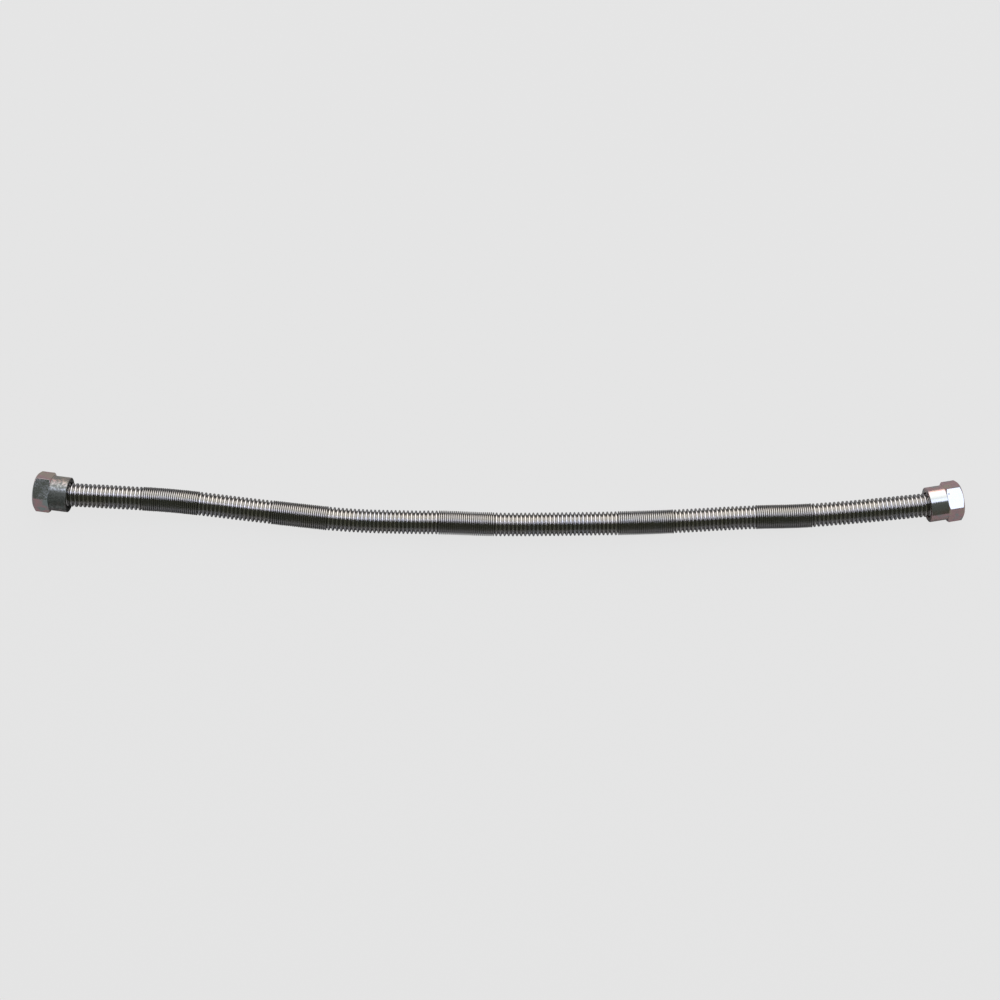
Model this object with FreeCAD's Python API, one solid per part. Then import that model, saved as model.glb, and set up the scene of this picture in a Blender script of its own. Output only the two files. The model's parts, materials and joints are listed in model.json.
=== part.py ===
import FreeCAD, Part
import math
import os

# A flexible metal connector: a corrugated stainless steel hose, with a loose union nut at each end.
# It lies as it comes to rest, along X, on the lower flats of its nuts and the middle of its hose.
# Lengths are in millimetres, angles in degrees, and +Z is up.

# Thread of both nuts, G 1/2
THREAD_MAJOR_DIAMETER = 20.955
THREAD_DEPTH = 1.162
THREAD_LENGTH = 8.3
THREAD_LEAD_IN = 0.55
RELIEF_CLEARANCE = 0.4
RELIEF_LENGTH = 5.1

# Hexagon and round collar of a nut. The wall over the thread makes it 24 mm across flats
HEX_WALL = 1.5225
HEX_LENGTH = 10.9
HEX_MOUTH_CHAMFER = 2.55
HEX_BACK_CHAMFER = 1.0
HEX_CHAMFER_ANGLE = 33.0
COLLAR_WALL = 3.2
COLLAR_LENGTH = 11.7
COLLAR_EDGE_CHAMFER = 0.3

# Hose, one tube: a flat flange rolled out at each end, a plain cuff behind it, then the ridges
FLANGE_THICKNESS = 0.8
CUFF_LENGTH = 8.0
RIDGE_HEIGHT = 1.6
CLOSED_RIDGE_SWELLING = 0.15
ROOT_WALL = 0.4

# Stretches of open ridges, with a stretch of closed-up ridges between each two of them.
# In the two end stretches the ridges are pulled out a little further apart.
OPEN_RIDGE_COUNTS = (18, 18, 27, 30, 20, 28)
END_STRETCH_PULL = 1.03
CLOSED_RIDGE_COUNT = 27
CLOSED_RIDGE_PITCH = 1.4

# A ridge is a ring of flat sides, with its corners on the true circle, to keep so many of them light
RING_SIDES = 10
CLOSED_STRETCH_SPANS = 2

# Flat gasket against each flange
GASKET_THICKNESS = 2.0

# Clearances between a nut and the hose that turns in it, and how far the flange overlaps the shoulder
TURNING_GAP = 0.3
COLLAR_SIDE_GAP = 0.6
SHOULDER_OVERLAP = 0.42
FLOOR_GAP = 0.05
BORE_STEP = 0.1

# Route of the hose's centre line from the left flange to the right one, as (X, Y, lift).
# A lift of 0 lies on the floor and 1 is as high as the axis of a nut.
# Each end run lies on the axis of its nut, so it says where the nut is.
ROUTE = [
    (-299.6, 7.0, 1.0),
    (-291.7, 6.0, 1.0),
    (-277.8, 5.3, 0.97),
    (-246.8, 3.7, 0.76),
    (-215.8, 1.9, 0.48),
    (-169.8, -3.7, 0.14),
    (-134.8, -7.6, 0.0),
    (-100.8, -11.3, 0.0),
    (-59.8, -12.4, 0.0),
    (-37.8, -12.4, 0.0),
    (0.2, -14.1, 0.0),
    (55.2, -13.5, 0.0),
    (108.2, -12.5, 0.0),
    (172.2, -8.7, 0.05),
    (203.2, -8.5, 0.21),
    (240.2, -5.8, 0.63),
    (280.2, -2.0, 0.97),
    (291.5, -0.75, 1.0),
    (299.4, 0.5, 1.0),
]
ARC_SHARE = 0.45

# Sizes that follow, from the thread inwards to the bore of the hose
THREAD_CORE_DIAMETER = THREAD_MAJOR_DIAMETER - 2 * THREAD_DEPTH
RELIEF_DIAMETER = THREAD_MAJOR_DIAMETER + 2 * RELIEF_CLEARANCE
FLANGE_DIAMETER = THREAD_CORE_DIAMETER - 2 * TURNING_GAP
COLLAR_BORE_DIAMETER = FLANGE_DIAMETER - 2 * SHOULDER_OVERLAP
OPEN_CREST_DIAMETER = COLLAR_BORE_DIAMETER - 2 * COLLAR_SIDE_GAP
CLOSED_CREST_DIAMETER = OPEN_CREST_DIAMETER + 2 * CLOSED_RIDGE_SWELLING
ROOT_DIAMETER = OPEN_CREST_DIAMETER - 2 * RIDGE_HEIGHT
BORE_DIAMETER = ROOT_DIAMETER - 2 * ROOT_WALL
NUT_ACROSS_FLATS = THREAD_MAJOR_DIAMETER + 2 * HEX_WALL
COLLAR_DIAMETER = COLLAR_BORE_DIAMETER + 2 * COLLAR_WALL
NUT_LENGTH = HEX_LENGTH + COLLAR_LENGTH
NUT_AXIS_HEIGHT = NUT_ACROSS_FLATS / 2
HOSE_REST_HEIGHT = CLOSED_CREST_DIAMETER / 2 + FLOOR_GAP

# Depths inside a nut, from its mouth
SHOULDER_DEPTH = THREAD_LENGTH + RELIEF_LENGTH
FLANGE_DEPTH = SHOULDER_DEPTH - TURNING_GAP - FLANGE_THICKNESS
GASKET_DEPTH = FLANGE_DEPTH - GASKET_THICKNESS

UP = FreeCAD.Vector(0, 0, 1)
LONG_AXIS = FreeCAD.Vector(1, 0, 0)


def unit(vector):
    """The direction of a vector."""
    return FreeCAD.Vector(vector).normalize()


def turned(outline):
    """A solid of revolution about X, from the (distance along X, radius) points of its section."""
    points = [FreeCAD.Vector(along, 0, radius) for along, radius in outline]
    section = Part.Face(Part.makePolygon(points + points[:1]))
    return section.revolve(FreeCAD.Vector(), LONG_AXIS, 360)


def frame_at(point, direction):
    """A placement at a point, with its X along a direction and its Z as upright as that allows."""
    side = unit(UP.cross(direction))
    upright = direction.cross(side)
    return FreeCAD.Placement(
        FreeCAD.Matrix(
            direction.x, side.x, upright.x, point.x,
            direction.y, side.y, upright.y, point.y,
            direction.z, side.z, upright.z, point.z,
            0, 0, 0, 1,
        )
    )


def route_points():
    """The route's points, with each lift turned into a height."""
    rise = NUT_AXIS_HEIGHT - HOSE_REST_HEIGHT
    return [FreeCAD.Vector(x, y, HOSE_REST_HEIGHT + lift * rise) for x, y, lift in ROUTE]


def tangent_path(points):
    """Edges of a path of straight runs joined by tangent arcs, each as large as its two runs allow."""
    edges = []
    start = points[0]
    for before, corner, after in zip(points, points[1:], points[2:]):
        arriving = corner - before
        leaving = after - corner
        reach = ARC_SHARE * min(arriving.Length, leaving.Length)
        half_turn = arriving.getAngle(leaving) / 2
        radius = reach / math.tan(half_turn)
        print(f"bend of {2 * math.degrees(half_turn):.1f} degrees, radius {radius:.0f} mm")
        entry = corner - unit(arriving) * reach
        end = corner + unit(leaving) * reach
        inward = unit(unit(leaving) - unit(arriving))
        crown = corner + inward * (reach / math.sin(half_turn) - radius)
        edges.append(Part.LineSegment(start, entry).toShape())
        edges.append(Part.Arc(entry, crown, end).toShape())
        start = end
    edges.append(Part.LineSegment(start, points[-1]).toShape())
    return edges


def place_on(path, distance):
    """The point and the direction at a distance along a path."""
    for edge in path[:-1]:
        if distance <= edge.Length:
            break
        distance -= edge.Length
    else:
        edge = path[-1]
    parameter = edge.getParameterByLength(min(distance, edge.Length))
    return edge.valueAt(parameter), edge.tangentAt(parameter)


def ring_outline(path, distance, diameter):
    """A closed outline square to the path, of flat sides, with its corners on a circle and one on top."""
    placement = frame_at(*place_on(path, distance))
    corners = []
    for count in range(RING_SIDES):
        angle = 2 * math.pi * count / RING_SIDES
        corner = FreeCAD.Vector(0, math.sin(angle), math.cos(angle)) * (diameter / 2)
        corners.append(placement.multVec(corner))
    return Part.makePolygon(corners + corners[:1])


def ridge_stations(start, end):
    """(distance, diameter) of every root and crest between two distances along the hose."""
    closed_length = CLOSED_RIDGE_COUNT * CLOSED_RIDGE_PITCH
    closed_stretches = len(OPEN_RIDGE_COUNTS) - 1
    pulls = [END_STRETCH_PULL] + [1] * (closed_stretches - 1) + [END_STRETCH_PULL]
    shares = sum(ridges * pull for ridges, pull in zip(OPEN_RIDGE_COUNTS, pulls))
    middle_pitch = (end - start - closed_stretches * closed_length) / shares
    print(f"open ridges every {middle_pitch:.3f} mm, at the ends {middle_pitch * END_STRETCH_PULL:.3f} mm")
    flank = CLOSED_RIDGE_PITCH / 2
    span = (closed_length - 2 * flank) / CLOSED_STRETCH_SPANS
    stations = [(start, ROOT_DIAMETER)]
    at = start
    for stretch, (ridges, pull) in enumerate(zip(OPEN_RIDGE_COUNTS, pulls)):
        pitch = middle_pitch * pull
        for _ in range(ridges):
            stations.append((at + pitch / 2, OPEN_CREST_DIAMETER))
            stations.append((at + pitch, ROOT_DIAMETER))
            at += pitch
        if stretch < closed_stretches:
            for count in range(CLOSED_STRETCH_SPANS + 1):
                stations.append((at + flank + count * span, CLOSED_CREST_DIAMETER))
            at += closed_length
            stations.append((at, ROOT_DIAMETER))
    return stations


def bend_middles(path, start, end):
    """The distances of the middles of a path's bends, with the two ends of the stretch."""
    distances = [start]
    at = 0
    for edge in path:
        middle = at + edge.Length / 2
        if edge.Curve.TypeId == "Part::GeomCircle" and start < middle < end:
            distances.append(middle)
        at += edge.Length
    return distances + [end]


def flanged_cuff():
    """A flange and the plain cuff behind it, about X, from the sealing face at the origin inwards."""
    bore = BORE_DIAMETER / 2
    flange = FLANGE_DIAMETER / 2
    root = ROOT_DIAMETER / 2 + BORE_STEP
    return turned(
        [
            (0, bore),
            (0, flange),
            (FLANGE_THICKNESS, flange),
            (FLANGE_THICKNESS, root),
            (CUFF_LENGTH, root),
            (CUFF_LENGTH, bore),
        ]
    )


def corrugated_hose(path, ends):
    """The whole tube: ridged outside, plain inside, with a cuff and a flat flange at each end."""
    length = sum(edge.Length for edge in path)
    start = CUFF_LENGTH
    end = length - CUFF_LENGTH
    ridges = [ring_outline(path, at, diameter) for at, diameter in ridge_stations(start, end)]
    bore_diameter = BORE_DIAMETER - 2 * BORE_STEP
    bore = [ring_outline(path, at, bore_diameter) for at in bend_middles(path, start, end)]
    hollow = Part.makeLoft(bore, True, True)
    tube = Part.makeLoft(ridges, True, True).cut(hollow)
    swept = Part.Face(bore[0]).Area * (end - start)
    print(f"hose {length:.1f} mm long, volume of its bore {hollow.Volume / swept:.4f} of section by length")
    for placement in ends:
        cuff = flanged_cuff()
        cuff.Placement = placement
        tube = tube.fuse(cuff)
    return tube


def hexagon():
    """The nut's hexagon about X, chamfered at its corners, deeply at the mouth and a little at the back."""
    corner_radius = NUT_ACROSS_FLATS / math.sqrt(3)
    angles = [math.radians(60 * count) for count in range(7)]
    corners = [FreeCAD.Vector(0, math.cos(angle), math.sin(angle)) * corner_radius for angle in angles]
    prism = Part.Face(Part.makePolygon(corners)).extrude(LONG_AXIS * HEX_LENGTH)
    slope = math.tan(math.radians(HEX_CHAMFER_ANGLE))
    envelope = turned(
        [
            (0, 0),
            (0, corner_radius - HEX_MOUTH_CHAMFER),
            (HEX_MOUTH_CHAMFER * slope, corner_radius),
            (HEX_LENGTH - HEX_BACK_CHAMFER * slope, corner_radius),
            (HEX_LENGTH, corner_radius - HEX_BACK_CHAMFER),
            (HEX_LENGTH, 0),
        ]
    )
    return prism.common(envelope)


def collar():
    """The round collar behind the hexagon, about X, with its root inside the hexagon."""
    radius = COLLAR_DIAMETER / 2
    return turned(
        [
            (SHOULDER_DEPTH / 2, 0),
            (SHOULDER_DEPTH / 2, radius),
            (NUT_LENGTH - COLLAR_EDGE_CHAMFER, radius),
            (NUT_LENGTH, radius - COLLAR_EDGE_CHAMFER),
            (NUT_LENGTH, 0),
        ]
    )


def nut_bore():
    """The space inside a nut, about X: thread core, relief, and the collar's hole for the hose."""
    core = THREAD_CORE_DIAMETER / 2
    relief = RELIEF_DIAMETER / 2
    hole = COLLAR_BORE_DIAMETER / 2
    return turned(
        [
            (0, 0),
            (0, core + THREAD_LEAD_IN),
            (THREAD_LEAD_IN, core),
            (THREAD_LENGTH, core),
            (THREAD_LENGTH, relief),
            (SHOULDER_DEPTH, relief),
            (SHOULDER_DEPTH, hole),
            (NUT_LENGTH, hole),
            (NUT_LENGTH, 0),
        ]
    )


def union_nut():
    """A hexagon with a round collar behind it, about X, from its mouth at the origin inwards."""
    return hexagon().fuse(collar()).cut(nut_bore())


def gasket():
    """The flat gasket, about X, at its depth inside a nut."""
    hole = BORE_DIAMETER / 2
    rim = FLANGE_DIAMETER / 2
    return turned(
        [
            (GASKET_DEPTH, hole),
            (GASKET_DEPTH, rim),
            (FLANGE_DEPTH, rim),
            (FLANGE_DEPTH, hole),
        ]
    )


def save(node, shape):
    """Writes one piece to its own file."""
    shape.exportStep(f"parts/{node}.step")
    print(f"{node}: {len(shape.Solids)} solid, valid {shape.isValid()}, {shape.Volume:.0f} mm3")


def main():
    """Makes every piece of the connector."""
    os.makedirs("parts", exist_ok=True)
    points = route_points()
    path = tangent_path(points)
    ends = {
        "left": frame_at(points[0], unit(points[1] - points[0])),
        "right": frame_at(points[-1], unit(points[-2] - points[-1])),
    }
    save("corrugated_hose", corrugated_hose(path, ends.values()))
    flange_to_mouth = FreeCAD.Placement(LONG_AXIS * -FLANGE_DEPTH, FreeCAD.Rotation())
    for side, end in ends.items():
        mouth = end.multiply(flange_to_mouth)
        print(f"{side} mouth at {mouth.Base}, facing {mouth.Rotation.multVec(-LONG_AXIS)}")
        for node, shape in ((f"{side}_union_nut", union_nut()), (f"{side}_gasket", gasket())):
            shape.Placement = mouth
            save(node, shape)


main()
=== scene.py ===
import json
import math

import bmesh
import bpy
from bpy.props import FloatProperty, FloatVectorProperty, IntProperty, PointerProperty
from mathutils import Matrix, Vector


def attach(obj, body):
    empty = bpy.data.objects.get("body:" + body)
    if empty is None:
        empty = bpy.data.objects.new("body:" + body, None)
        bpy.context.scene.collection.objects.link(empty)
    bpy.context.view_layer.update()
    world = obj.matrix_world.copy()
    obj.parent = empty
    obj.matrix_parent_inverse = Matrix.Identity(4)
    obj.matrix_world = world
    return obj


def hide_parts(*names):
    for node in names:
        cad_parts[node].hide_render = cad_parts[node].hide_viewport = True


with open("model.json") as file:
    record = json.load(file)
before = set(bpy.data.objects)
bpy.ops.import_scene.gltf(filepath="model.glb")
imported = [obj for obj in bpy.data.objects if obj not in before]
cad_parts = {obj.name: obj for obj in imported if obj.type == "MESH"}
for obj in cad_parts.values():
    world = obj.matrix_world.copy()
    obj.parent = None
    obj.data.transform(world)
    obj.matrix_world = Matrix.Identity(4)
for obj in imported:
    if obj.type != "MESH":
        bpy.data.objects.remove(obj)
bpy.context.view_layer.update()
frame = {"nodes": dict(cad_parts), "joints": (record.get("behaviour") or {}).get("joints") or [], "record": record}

bl_info = {
    "name": "Flexible Connector",
    "version": (1, 0, 0),
    "blender": (4, 5, 0),
    "location": "View3D > Sidebar > Connector",
    "description": "Builds a corrugated metal hose with a loose union nut at each end",
    "category": "Add Mesh",
}

MOUNTS = {mount["name"]: mount for mount in frame["record"]["mounts"]}
JOINTS = {joint["name"]: joint for joint in frame["joints"]}
THREAD_CORE_RADIUS = MOUNTS["left_thread"]["dims"]["r_mm"] / 1000
UP = Vector((0, 0, 1))

# Centre line of the hose from the left flange to the right one, in metres
ROUTE = [
    (-0.2996, 0.0070, 0.012),
    (-0.2917, 0.0060, 0.012),
    (-0.2778, 0.0053, 0.011886),
    (-0.2468, 0.0037, 0.011087),
    (-0.2158, 0.0019, 0.010022),
    (-0.1698, -0.0037, 0.008728),
    (-0.1348, -0.0076, 0.0081955),
    (-0.1008, -0.0113, 0.0081955),
    (-0.0598, -0.0124, 0.0081955),
    (-0.0378, -0.0124, 0.0081955),
    (0.0002, -0.0141, 0.0081955),
    (0.0552, -0.0135, 0.0081955),
    (0.1082, -0.0125, 0.0081955),
    (0.1722, -0.0087, 0.008386),
    (0.2032, -0.0085, 0.008994),
    (0.2402, -0.0058, 0.010592),
    (0.2802, -0.0020, 0.011886),
    (0.2915, -0.00075, 0.012),
    (0.2994, 0.0005, 0.012),
]
ROUTE_RESOLUTION = 24

# Ridges in each stretch of open ridges, and in each closed-up stretch between two of them
OPEN_RIDGES = (18, 18, 27, 30, 20, 28)
CLOSED_RIDGES = 27

# Rings of points along one ridge of each kind, and along the plain middle of the inner wall
OPEN_STEPS = 10
CLOSED_STEPS = 6
INNER_STEPS = 8
MIDDLE_STEPS = 80

# How far those rings are crowded towards the roots of the ridges
CROWDING = 0.5

# How far the seed of a closed-up stretch is ahead of that of the open stretch before it
CLOSED_SEED = 50

# How much of their ridge colour the closed-up ridges show, where the open ones count as 1: the rest is painted
# shade, which also makes them rougher
CLOSED_UNSHADED_PART = 0.36

# Ridges of the inner wall near each end, where a mouth can show them, and faces round that wall
INNER_RIDGES = 12
INNER_SIDES = 24

# Faces round the flange, and how far its cuff stands over the roots, so that the first ridge covers its end
CUFF_SIDES = 48
CUFF_LAP = 0.0001

# Faces along each rounded edge, and the largest share of a line that the rounding at its end takes
ARC_STEPS = 3
ARC_SHARE = 0.45

# The distances under which points are merged, on the hose and on what is made of rows of points
HOSE_MERGE_DISTANCE = 0.00001
MERGE_DISTANCE = 0.000002

# Inside of a nut, in metres from its mouth: where its thread ends, and the shoulder that pulls on the flange
THREAD_END = 0.0083
SHOULDER_DEPTH = 0.0134

# How much further out the relief lies than the thread's roots, and rows of faces along one turn of thread
RELIEF_GAP = 0.0004
THREAD_STEPS = 12

# Chamfer of the collar's rim, least chamfer of the hexagon behind, rounding of the hexagon's corners,
# and angles of the rows of faces on a flat, in degrees from its corner to its middle
RIM_CHAMFER = 0.0003
LEAST_CHAMFER = 0.00005
CORNER_ROUND = 0.00012
FLAT_ANGLES = (3, 6, 9.5, 13, 17, 21, 25.5, 30)

# How far under the collar's surface its wear ends and the painted shade behind its rim starts
WEAR_DEPTH = 0.0004
SHADE_DEPTH = 0.0003

# Of each nut: wear of the collar, painted shade on its rim's end face and in its bore, and the tint of the plating
# on each of its flats, where 0 is sand, 0.5 is pink and 1 is green
NUT_MARKS = (
    ("left", 1.0, 1.0, (0.02, 0.9, 0.75, 0.2, 0.8, 0.4)),
    ("right", 0.1, 0.35, (0.5, 0.6, 0.4, 0.7, 0.1, 0.8)),
)

# A small dark spot on the upper flat of the right nut: its place, and the radii of its core and of its rim
SPOT_PLACE = (0.30151, 0.00442, 0.024)
SPOT_CORE = 0.0003
SPOT_RIM = 0.0006

CAMERA_TARGET = Vector((0.00113, 0.00292, 0.008))

# The floor: half of its side, its level, its grey under the light, how much of its own colour it shows,
# and how much of that colour the metal reflects. It lies a hair under the nuts, whose flats are at 0
FLOOR_HALF = 6
FLOOR_LEVEL = -0.00005
FLOOR_GREY = (0.3, 0.3, 0.3, 1)
FLOOR_SHOWN = 0.88
FLOOR_MIRRORED = 0.1

# The large soft light: its height and width in metres, where it starts and ends in degrees off the zenith,
# and where its brighter near part ends, which hangs a little lower
WINDOW_HEIGHT = 2.565
WINDOW_WIDTH = 8.0
WINDOW_EDGES = (8.1, 78)
WINDOW_COLOR = (0.975, 0.96, 1.0)
EDGE_END = 25
EDGE_DROP = 0.02
EDGE_COLOR = (0.65, 0.7, 1.0)

# The room that the metal reflects, and the paler wall to the far side of it
ROOM_COLOR = (0.95, 1.0, 0.72, 1)
WALL_COLOR = (1.0, 0.92, 0.84, 1)
WALL_DIRECTION = (0.25, 1, 0)
WALL_START = 0.35
WALL_FULL = 0.95

# What the properties for distances, angles and colours have in common
DISTANCE = {"unit": "LENGTH", "subtype": "DISTANCE", "precision": 5}
ANGLE = {"unit": "ROTATION", "subtype": "ANGLE"}
COLOR = {"subtype": "COLOR", "size": 4, "min": 0, "max": 1}


class HoseSettings(bpy.types.PropertyGroup):
    """Sizes and colours of the corrugated hose."""

    open_crest: FloatProperty(
        name="Open Crest Radius", description="Radius over the open ridges", default=0.00803, **DISTANCE
    )
    closed_crest: FloatProperty(
        name="Closed Crest Radius", description="Radius over the closed-up ridges",
        default=0.0081455, **DISTANCE
    )
    root: FloatProperty(
        name="Root Radius", description="Outer radius between the ridges", default=0.0063955, **DISTANCE
    )
    wall: FloatProperty(
        name="Wall", description="Thickness of the formed tube", default=0.0004, **DISTANCE
    )
    closed_pitch: FloatProperty(
        name="Closed Pitch", description="Distance between closed-up ridges", default=0.0014, **DISTANCE
    )
    end_pull: FloatProperty(
        name="End Pull", description="How much further apart the open ridges near the nuts are", default=1.03
    )
    open_fullness: FloatProperty(
        name="Open Fullness", description="How broad the open ridges are against their roots", default=2.3
    )
    closed_fullness: FloatProperty(
        name="Closed Fullness", description="How broad the closed-up ridges are against their roots",
        default=7.0,
    )
    open_squareness: FloatProperty(
        name="Open Squareness", description="How flat the crests and roots of the open ridges are",
        default=1.7,
    )
    cuff_length: FloatProperty(
        name="Cuff Length", description="Plain tube at each end, flange included", default=0.008, **DISTANCE
    )
    flange_radius: FloatProperty(
        name="Flange Radius", description="Radius of the flange at each end", default=0.0090155, **DISTANCE
    )
    flange_thickness: FloatProperty(
        name="Flange Thickness", description="Thickness of the flange", default=0.0008, **DISTANCE
    )
    unevenness: FloatProperty(
        name="Unevenness", description="How much the ridges differ in height", default=0.00005, **DISTANCE
    )
    seed: IntProperty(name="Seed", description="Which uneven ridges come out", default=4)
    sides: IntProperty(name="Sides", description="Faces round the hose", default=36, min=8, max=64)
    crest_color: FloatVectorProperty(
        name="Crest Color", description="Clean steel on the ridges",
        default=(0.57, 0.556, 0.572, 1), **COLOR
    )
    cool_color: FloatVectorProperty(
        name="Cool Crest Color", description="Clean steel in its bluer patches",
        default=(0.545, 0.552, 0.585, 1), **COLOR
    )
    warm_color: FloatVectorProperty(
        name="Warm Crest Color", description="Clean steel in its warmer patches",
        default=(0.57, 0.555, 0.54, 1), **COLOR
    )
    # Painted shade: the darker colour between the ridges stands for the shade in the grooves
    groove_shade_color: FloatVectorProperty(
        name="Root Color", description="Shaded steel between the ridges",
        default=(0.32, 0.312, 0.3, 1), **COLOR
    )


class NutSettings(bpy.types.PropertyGroup):
    """Sizes and colours of the two union nuts."""

    across_flats: FloatProperty(
        name="Across Flats", description="Size of the hexagon", default=0.024, **DISTANCE
    )
    hexagon_length: FloatProperty(
        name="Hexagon Length", description="Length of the hexagon from the mouth", default=0.0109, **DISTANCE
    )
    length: FloatProperty(
        name="Nut Length", description="Length of the hexagon and the collar", default=0.0226, **DISTANCE
    )
    collar_radius: FloatProperty(
        name="Collar Radius", description="Outer radius of the round collar", default=0.0117955, **DISTANCE
    )
    collar_bore: FloatProperty(
        name="Collar Bore", description="Radius of the collar's hole", default=0.0085955, **DISTANCE
    )
    thread_pitch: FloatProperty(
        name="Thread Pitch", description="Distance between turns of the thread", default=0.001814, **DISTANCE
    )
    thread_depth: FloatProperty(
        name="Thread Depth", description="Depth of the thread", default=0.001162, **DISTANCE
    )
    mouth_chamfer: FloatProperty(
        name="Mouth Chamfer", description="Depth of the chamfer at the mouth, from a corner inwards",
        default=0.00255, **DISTANCE
    )
    back_chamfer: FloatProperty(
        name="Back Chamfer", description="Depth of the chamfer behind, from a corner inwards",
        default=0.001, **DISTANCE
    )
    chamfer_angle: FloatProperty(
        name="Chamfer Angle", description="Slope of both chamfers", default=math.radians(33), **ANGLE
    )
    sand_color: FloatVectorProperty(
        name="Plating, Sand", description="Main tint of the plating",
        default=(0.66, 0.555, 0.44, 1), **COLOR
    )
    pink_color: FloatVectorProperty(
        name="Plating, Pink", description="Pink tint of the plating", default=(0.73, 0.44, 0.46, 1), **COLOR
    )
    green_color: FloatVectorProperty(
        name="Plating, Green", description="Green tint of the plating",
        default=(0.42, 0.5, 0.49, 1), **COLOR
    )
    level_color: FloatVectorProperty(
        name="Plating, Level", description="What the tints turn to on surfaces that face the viewer",
        default=(0.47, 0.5, 0.52, 1), **COLOR
    )
    worn_color: FloatVectorProperty(
        name="Plating, Worn", description="Dulled plating on the left nut's collar",
        default=(0.13, 0.14, 0.135, 1), **COLOR
    )
    # Painted shade: the dark colour on the collar's rim end face and in its bore, which also colours the real dark
    # spot
    shade_and_spot_color: FloatVectorProperty(
        name="Shade and Spot", description="Dark grime behind the collar's rim",
        default=(0.05, 0.05, 0.045, 1), **COLOR
    )
    metal_share: FloatProperty(
        name="Metal Share", description="How metallic the plating is, where 1 is bare metal", default=0.93
    )
    worn_metal_share: FloatProperty(
        name="Worn Metal Share", description="How metallic the dulled plating is", default=0.5
    )


class GasketSettings(bpy.types.PropertyGroup):
    """Colours of the gaskets."""

    color: FloatVectorProperty(
        name="Gasket Color", description="Rubber of the gaskets", default=(0.035, 0.035, 0.038, 1), **COLOR
    )
    bloom_color: FloatVectorProperty(
        name="Bloom Color", description="Rubber under its faint pale bloom",
        default=(0.06, 0.06, 0.062, 1), **COLOR
    )


class StageSettings(bpy.types.PropertyGroup):
    """The camera, the floor and the light."""

    lens: FloatProperty(name="Lens", description="Focal length in millimetres", default=67.02)
    camera_distance: FloatProperty(
        name="Camera Distance", description="Distance from the camera to what it looks at",
        default=1.261, **DISTANCE
    )
    camera_elevation: FloatProperty(
        name="Camera Elevation", description="Angle above the horizon", default=math.radians(80.9), **ANGLE
    )
    floor_color: FloatVectorProperty(
        name="Floor Color", description="Colour that the floor shows",
        default=(0.854, 0.854, 0.854, 1), **COLOR
    )
    backdrop_color: FloatVectorProperty(
        name="Backdrop Color", description="Colour seen behind the floor",
        default=(0.776, 0.776, 0.776, 1), **COLOR
    )
    window_strength: FloatProperty(
        name="Window Strength", description="Brightness of the large soft light, where 1 is white",
        default=1.4, min=0,
    )
    edge_strength: FloatProperty(
        name="Edge Strength", description="How much brighter the large soft light is at its near edge",
        default=1.15, min=0,
    )
    window_turn: FloatProperty(
        name="Window Turn", description="How far the light is turned towards the right nut",
        default=math.radians(-15.5), **ANGLE
    )
    room_strength: FloatProperty(
        name="Room Strength", description="Brightness of the dim room", default=0.085
    )
    wall_strength: FloatProperty(
        name="Wall Strength", description="Brightness of the wall on the window's side", default=1.55
    )


def add_node(tree, kind, inputs=None, **settings):
    """A node with its settings, and with each input set to a value or linked to a socket."""
    node = tree.nodes.new(kind)
    for name, value in settings.items():
        setattr(node, name, value)
    for name, value in (inputs or {}).items():
        if isinstance(value, bpy.types.NodeSocket):
            tree.links.new(value, node.inputs[name])
        else:
            node.inputs[name].default_value = value
    return node


def calc(tree, operation, *values):
    """The result of a sum on numbers."""
    return add_node(tree, "ShaderNodeMath", dict(enumerate(values)), operation=operation).outputs[0]


def calc_vector(tree, operation, *values):
    """The result of a sum on vectors."""
    return add_node(tree, "ShaderNodeVectorMath", dict(enumerate(values)), operation=operation).outputs[0]


def scaled(tree, vector, factor):
    """A vector times a number."""
    return add_node(tree, "ShaderNodeVectorMath", {0: vector, 3: factor}, operation="SCALE").outputs[0]


def measured(tree, operation, first, second):
    """The number that a sum on two vectors gives."""
    return add_node(tree, "ShaderNodeVectorMath", {0: first, 1: second}, operation=operation).outputs["Value"]


def map_value(tree, value, low, high, from_low=0.0, from_high=1.0):
    """A value moved from one range into another."""
    inputs = {"Value": value, "From Min": from_low, "From Max": from_high, "To Min": low, "To Max": high}
    return add_node(tree, "ShaderNodeMapRange", inputs).outputs["Result"]


def mix_value(tree, factor, first, second):
    """Two numbers mixed by a share of the second."""
    return calc(tree, "MULTIPLY_ADD", factor, calc(tree, "SUBTRACT", second, first), first)


def mix_color(tree, factor, first, second):
    """Two colours mixed by a share of the second."""
    return add_node(tree, "ShaderNodeMix", {0: factor, 6: first, 7: second}, data_type="RGBA").outputs[2]


def noise(tree, vector, scale, detail, distortion=0.0):
    """Soft noise from 0 to 1."""
    inputs = {"Vector": vector, "Scale": scale, "Detail": detail, "Distortion": distortion}
    return add_node(tree, "ShaderNodeTexNoise", inputs).outputs["Fac"]


def use_group(tree, group, **inputs):
    """The outputs of a group node, with its inputs set or linked by their names in small letters."""
    kind = "GeometryNodeGroup" if group.bl_idname == "GeometryNodeTree" else "ShaderNodeGroup"
    named = {name.replace("_", " ").title(): value for name, value in inputs.items()}
    return add_node(tree, kind, named, node_tree=group).outputs


def new_tree(name, kind, inputs, outputs):
    """An empty node group with named sockets, its input node and its output node."""
    tree = bpy.data.node_groups.new(name, kind)
    for direction, sockets in (("INPUT", inputs), ("OUTPUT", outputs)):
        for socket, kind_of_value in sockets:
            tree.interface.new_socket(socket, in_out=direction, socket_type="NodeSocket" + kind_of_value)
    return tree, tree.nodes.new("NodeGroupInput").outputs, tree.nodes.new("NodeGroupOutput").inputs


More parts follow.
